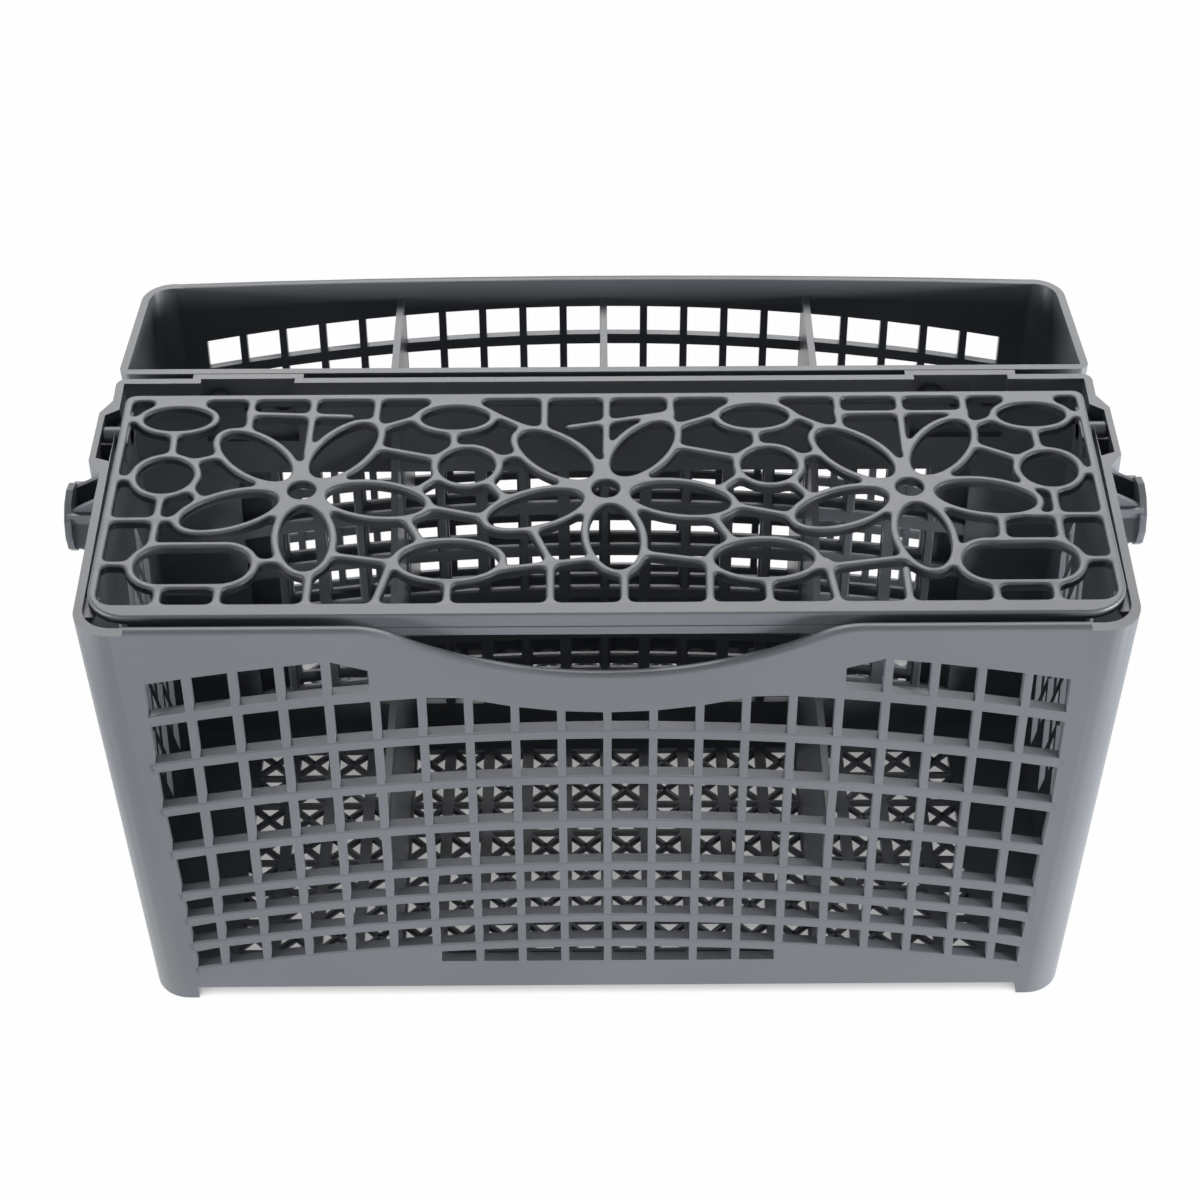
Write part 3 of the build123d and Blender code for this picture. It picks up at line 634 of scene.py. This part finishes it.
def lid_plate(smallest=5.0):
    """The grille as one plate with rounded rib edges, in millimetres about its middle height."""
    data = bpy.data.curves.new("lid_outlines", "CURVE")
    data.dimensions = "2D"
    data.fill_mode = "BOTH"
    data.extrude = RIB_HEIGHT / 2 - RIB_ROUND
    data.bevel_depth = RIB_ROUND
    data.bevel_resolution = 2
    data.offset = -RIB_ROUND
    for points in contour_loops():
        loop, length = even_loop(points)
        if length > smallest:
            spline = data.splines.new("POLY")
            spline.points.add(len(loop) - 1)
            for point, (x, y) in zip(spline.points, loop):
                point.co = (x, y, 0, 1)
            spline.use_cyclic_u = True
    holder = bpy.data.objects.new("lid_outlines", data)
    bpy.context.scene.collection.objects.link(holder)
    mesh = bpy.data.meshes.new_from_object(holder)
    bpy.data.objects.remove(holder)
    bpy.data.curves.remove(data)
    return mesh


def add_block(bm, low, high, soft):
    """A block with rounded edges between two corners."""
    made = bmesh.ops.create_cube(bm, size=1)
    verts = made["verts"]
    for vert in verts:
        vert.co = Vector([low[k] if vert.co[k] < 0 else high[k] for k in range(3)])
    edges = list({edge for vert in verts for edge in vert.link_edges})
    bmesh.ops.bevel(bm, geom=edges, offset=soft, segments=3, profile=0.5, affect="EDGES")


def add_pin(bm, side):
    """A hinge pin with a chamfered end."""
    chamfer = 0.5
    stations = [(lid_half(HINGE_Y - lid_front) - EAR_THICKNESS, PIN_RADIUS),
                (pin_reach - chamfer, PIN_RADIUS), (pin_reach, PIN_RADIUS - chamfer)]
    steps = 28
    sections = []
    for x, radius in stations:
        angles = [2 * pi * k / steps for k in range(steps)]
        sections.append([(side * x, HINGE_Y + radius * cos(a), HINGE_Z + radius * sin(a)) for a in angles])
    skin(bm, sections)


def build_lid():
    """The flower grille with round-edged, filleted ribs, its front skirt, ears and pins."""
    plate = lid_plate()
    bm = bmesh.new()
    bm.from_mesh(plate)
    bpy.data.meshes.remove(plate)
    bmesh.ops.remove_doubles(bm, verts=bm.verts, dist=0.001)
    bmesh.ops.translate(bm, verts=bm.verts, vec=(0, lid_front, lid_top - RIB_HEIGHT / 2))
    straight = LID_FRONT_HALF - LID_FRONT_CORNER
    skirt_back = lid_front + LID_SKIRT_THICKNESS
    add_block(bm, (-straight, lid_front - SKIRT_SKIN, lid_top - LID_LEDGE_DROP - SKIRT_LAP),
              (straight, skirt_back, lid_top - RIB_ROUND - SKIRT_SINK), SKIRT_SKIN)
    add_block(bm, (-straight, lid_front - LID_LEDGE, lid_top - LID_SKIRT_DROP),
              (straight, skirt_back, lid_top - LID_LEDGE_DROP), SKIRT_ROUND)
    for side in (-1, 1):
        half = lid_half(HINGE_Y - lid_front)
        inner = side * (half - EAR_THICKNESS)
        outer = side * (half - FINE_SKIN)
        add_block(bm, (min(inner, outer), HINGE_Y - EAR_LONG, HINGE_Z - EAR_DROP),
                  (max(inner, outer), HINGE_Y + EAR_LONG, lid_top - EAR_SINK), EAR_ROUND)
        add_pin(bm, side)
    lid = finish_piece(bm, "lid_grille", "lid", lid_plastic)
    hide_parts("lid")


build_lid()


def round_edges(node):
    """Give a CAD moulding the small edge radii of a mould, and its plastic."""
    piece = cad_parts[node]
    piece.data.materials.clear()
    piece.data.materials.append(bin_plastic)
    weld = piece.modifiers.new("weld", "WELD")
    weld.merge_threshold = 0.00001
    bevel = piece.modifiers.new("edge_radius", "BEVEL")
    bevel.width = EDGE_ROUND * MM
    bevel.segments = 2
    bevel.limit_method = "ANGLE"
    bevel.angle_limit = radians(40)
    bevel.harden_normals = True


for node in ("front_basket", "rear_basket"):
    round_edges(node)


def add_camera():
    """The photograph's camera: a long lens above the front, looking down."""
    place = Vector((-3.08, -524.4, 521.1)) * MM
    down = radians(40.44)
    yaw = radians(0.186)
    roll = radians(-0.213)
    ahead = Vector((sin(yaw) * cos(down), cos(yaw) * cos(down), -sin(down)))
    level = Vector((cos(yaw), -sin(yaw), 0))
    above = level.cross(ahead)
    right = cos(roll) * level + sin(roll) * above
    up = cos(roll) * above - sin(roll) * level
    data = bpy.data.cameras.new("camera")
    data.lens = 81.34
    data.sensor_width = 36
    data.clip_start = 0.01
    camera = bpy.data.objects.new("camera", data)
    camera.matrix_world = Matrix.Translation(place) @ Matrix((right, up, -ahead)).transposed().to_4x4()
    bpy.context.scene.collection.objects.link(camera)
    bpy.context.scene.camera = camera


def add_softbox(name, place, target, size, power):
    """A large area light aimed at a point."""
    data = bpy.data.lights.new(name, "AREA")
    data.shape = "RECTANGLE"
    data.size, data.size_y = size
    data.energy = power
    light = bpy.data.objects.new(name, data)
    light.location = place
    light.rotation_euler = (Vector(target) - Vector(place)).to_track_quat("-Z", "Y").to_euler()
    bpy.context.scene.collection.objects.link(light)


def seen_rays(tree):
    """1 for the rays that show the backdrop, 0 for those that only carry light."""
    path = tree.nodes.new("ShaderNodeLightPath")
    seen = path.outputs["Is Camera Ray"]
    for kind in ("Is Glossy Ray", "Is Transmission Ray"):
        either = tree.nodes.new("ShaderNodeMath")
        either.operation = "MAXIMUM"
        tree.links.new(seen, either.inputs[0])
        tree.links.new(path.outputs[kind], either.inputs[1])
        seen = either.outputs[0]
    return seen


def white_when_seen(tree, shader, share, shade=None):
    """Mix a shader towards plain white, or a shade of it, for the rays that show the backdrop."""
    nodes = tree.nodes
    seen = seen_rays(tree)
    part = nodes.new("ShaderNodeMath")
    part.operation = "MULTIPLY"
    part.inputs[1].default_value = share
    glow = nodes.new("ShaderNodeEmission")
    if shade is not None:
        tree.links.new(shade, glow.inputs["Color"])
    mix = nodes.new("ShaderNodeMixShader")
    tree.links.new(seen, part.inputs[0])
    tree.links.new(part.outputs[0], mix.inputs["Fac"])
    tree.links.new(shader, mix.inputs[1])
    tree.links.new(glow.outputs["Emission"], mix.inputs[2])
    return mix.outputs["Shader"]


def add_studio():
    """A white floor, a white surround, and soft light from behind and low from both sides."""
    bm = bmesh.new()
    half = 3.0
    corners = ((-half, -half, 0), (half, -half, 0), (half, half, 0), (-half, half, 0))
    bm.faces.new([bm.verts.new(corner) for corner in corners])
    mesh = bpy.data.meshes.new("floor")
    bm.to_mesh(mesh)
    bm.free()
    floor = bpy.data.objects.new("floor", mesh)
    bpy.context.scene.collection.objects.link(floor)
    paint = bpy.data.materials.new("floor_white")
    paint.use_nodes = True
    shader = paint.node_tree.nodes["Principled BSDF"]
    shader.inputs["Roughness"].default_value = 0.9
    shader.inputs["Base Color"].default_value = (0.18, 0.18, 0.18, 1)
    # Painted shadow: ambient occlusion darkens the floor's white emission close under the basket
    painted_shadow_ao = paint.node_tree.nodes.new("ShaderNodeAmbientOcclusion")
    painted_shadow_ao.inputs["Distance"].default_value = 0.2
    shade = paint.node_tree.nodes.new("ShaderNodeMapRange")
    shade.inputs["From Min"].default_value = 0.05
    shade.inputs["From Max"].default_value = 0.4
    shade.inputs["To Min"].default_value = 0.3
    paint.node_tree.links.new(painted_shadow_ao.outputs["AO"], shade.inputs["Value"])
    surface = white_when_seen(paint.node_tree, shader.outputs["BSDF"], 0.99, shade.outputs["Result"])
    paint.node_tree.links.new(surface, paint.node_tree.nodes["Material Output"].inputs["Surface"])
    mesh.materials.append(paint)

    world = bpy.data.worlds.new("studio")
    world.use_nodes = True
    background = world.node_tree.nodes["Background"]
    background.inputs["Color"].default_value = (1, 1, 1, 1)
    background.inputs["Strength"].default_value = 0.015
    surface = white_when_seen(world.node_tree, background.outputs["Background"], 1.0)
    world.node_tree.links.new(surface, world.node_tree.nodes["World Output"].inputs["Surface"])
    bpy.context.scene.world = world

    middle = (0, 0, 0.06)
    add_softbox("back_light", (0.0, 1.1, 1.0), middle, (1.2, 0.6), 13.0)
    add_softbox("right_light", (1.3, -0.55, 0.07), middle, (0.8, 0.3), 47)
    add_softbox("left_light", (-1.3, -0.55, 0.07), middle, (0.8, 0.3), 26)


add_camera()
add_studio()

bpy.context.scene.view_settings.view_transform = "Standard"
